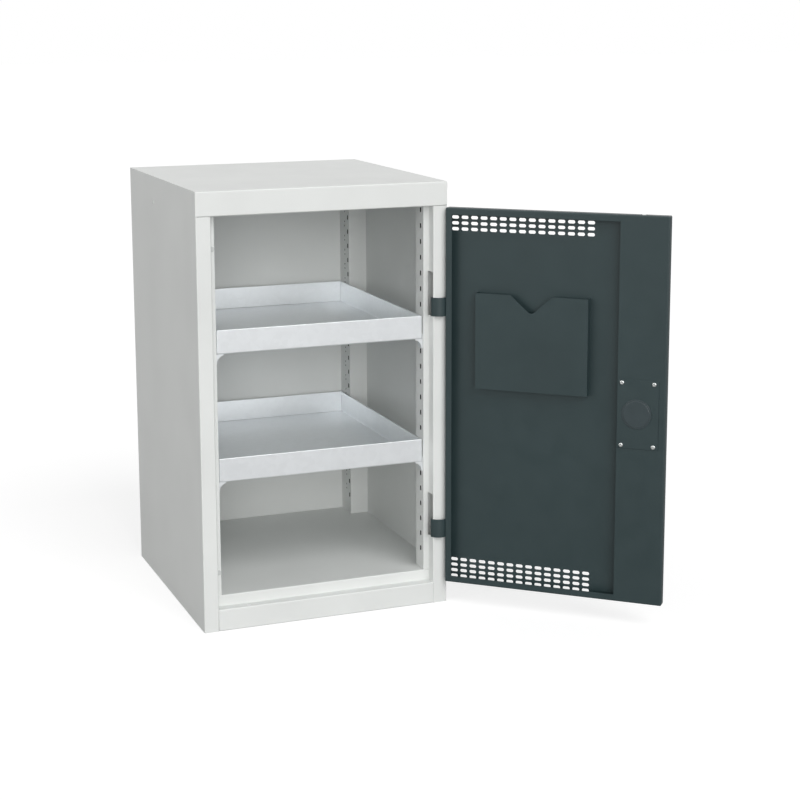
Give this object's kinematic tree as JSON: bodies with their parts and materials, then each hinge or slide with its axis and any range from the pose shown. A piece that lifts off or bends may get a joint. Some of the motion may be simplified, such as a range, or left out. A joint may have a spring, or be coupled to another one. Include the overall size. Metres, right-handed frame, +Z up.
{
  "type": "reagent cabinet",
  "caption": "Free-standing sheet-steel reagent cabinet with one vented wing door, lift-off hinges, lever lock with rods, and spill trays hung in slotted uprights.",
  "frame": {"origin": "centre of the carcass's footprint, on the ground", "axes": "+X to the hinge side, +Y from the front to the back, +Z up; stored with the door wide open"},
  "size_m": [0.8299, 0.8214, 0.845],
  "materials": {
    "painted_light": "smooth powder coat, light grey",
    "painted_dark": "fine powder coat, anthracite",
    "galvanised": "hot-dip galvanised",
    "zinc": "bright zinc plated",
    "washer_brass": "plain",
    "black_plastic": "moulded, fine grain",
    "plug_chrome": "satin chrome",
    "soft_buffer": "soft, light grey",
    "plug_plastic": "moulded, light grey"
  },
  "bodies": {
    "carcass": {"left_side_panel": "painted_light", "right_side_panel": "painted_light", "top_panel": "painted_light", "back_panel": "painted_light", "floor_panel": "painted_light", "plinth": "painted_light", "front_left_upright": "painted_light", "front_right_upright": "painted_light", "rear_left_upright": "painted_light", "rear_right_upright": "painted_light", "lower_hinge_bracket": "painted_light", "upper_hinge_bracket": "painted_light", "lower_hinge_pin": "zinc", "upper_hinge_pin": "zinc", "lower_hinge_washer": "washer_brass", "upper_hinge_washer": "washer_brass", "lower_tray_front_left_clip": "galvanised", "lower_tray_front_right_clip": "galvanised", "lower_tray_rear_left_clip": "galvanised", "lower_tray_rear_right_clip": "galvanised", "upper_tray_front_left_clip": "galvanised", "upper_tray_front_right_clip": "galvanised", "upper_tray_rear_left_clip": "galvanised", "upper_tray_rear_right_clip": "galvanised", "lower_door_buffer": "soft_buffer", "upper_door_buffer": "soft_buffer", "left_side_plug": "plug_plastic", "right_side_plug": "plug_plastic"},
    "handle": {"door_handle": "black_plastic", "lock_spindle": "zinc", "lock_cam": "zinc"},
    "key": {"key_plug": "plug_chrome"},
    "top_rod": {"top_lock_rod": "zinc"},
    "bottom_rod": {"bottom_lock_rod": "zinc"},
    "upper_shelf": {"upper_tray": "galvanised"},
    "lower_shelf": {"lower_tray": "galvanised"},
    "door": {"door_panel": "painted_dark", "channel_wall": "painted_dark", "lock_cover_plate": "painted_dark", "spindle_cap": "painted_dark", "document_pocket": "painted_dark", "lock_case": "zinc", "top_rod_guide": "black_plastic", "bottom_rod_guide": "black_plastic", "handle_plate": "black_plastic", "lower_hinge_strap": "painted_dark", "upper_hinge_strap": "painted_dark", "cover_screws": "zinc"}
  },
  "joints": [
    {"name": "door_hinge", "type": "hinge", "parent": "carcass", "child": "door", "pos_m": [0.236, -0.2505, 0.42], "axis": [0, 0, 1], "range_deg": [-138, 0]},
    {"name": "handle_turn", "type": "hinge", "parent": "door", "child": "handle", "pos_m": [0.53924, -0.51076, 0.4185], "axis": [-0.6691, -0.7431, 0], "range_deg": [0, 90]},
    {"name": "key_turn", "type": "hinge", "parent": "handle", "child": "key", "pos_m": [0.53924, -0.51076, 0.4185], "axis": [-0.6691, -0.7431, 0], "range_deg": [0, 90]},
    {"name": "top_rod_slide", "type": "slide", "parent": "door", "child": "top_rod", "axis": [0, 0, 1], "range_m": [0, 0.012]},
    {"name": "bottom_rod_slide", "type": "slide", "parent": "door", "child": "bottom_rod", "axis": [0, 0, -1], "range_m": [0, 0.012]},
    {"name": "upper_tray_lift", "type": "slide", "parent": "carcass", "child": "upper_shelf", "axis": [0, 0, 1], "range_m": [0, 0.024]},
    {"name": "lower_tray_lift", "type": "slide", "parent": "carcass", "child": "lower_shelf", "axis": [0, 0, 1], "range_m": [0, 0.024]}
  ],
  "couplings": [
    {"joint": "top_rod_slide", "follows": "handle_turn", "m_per_rad": 0.0076394},
    {"joint": "bottom_rod_slide", "follows": "handle_turn", "m_per_rad": 0.0076394}
  ]
}
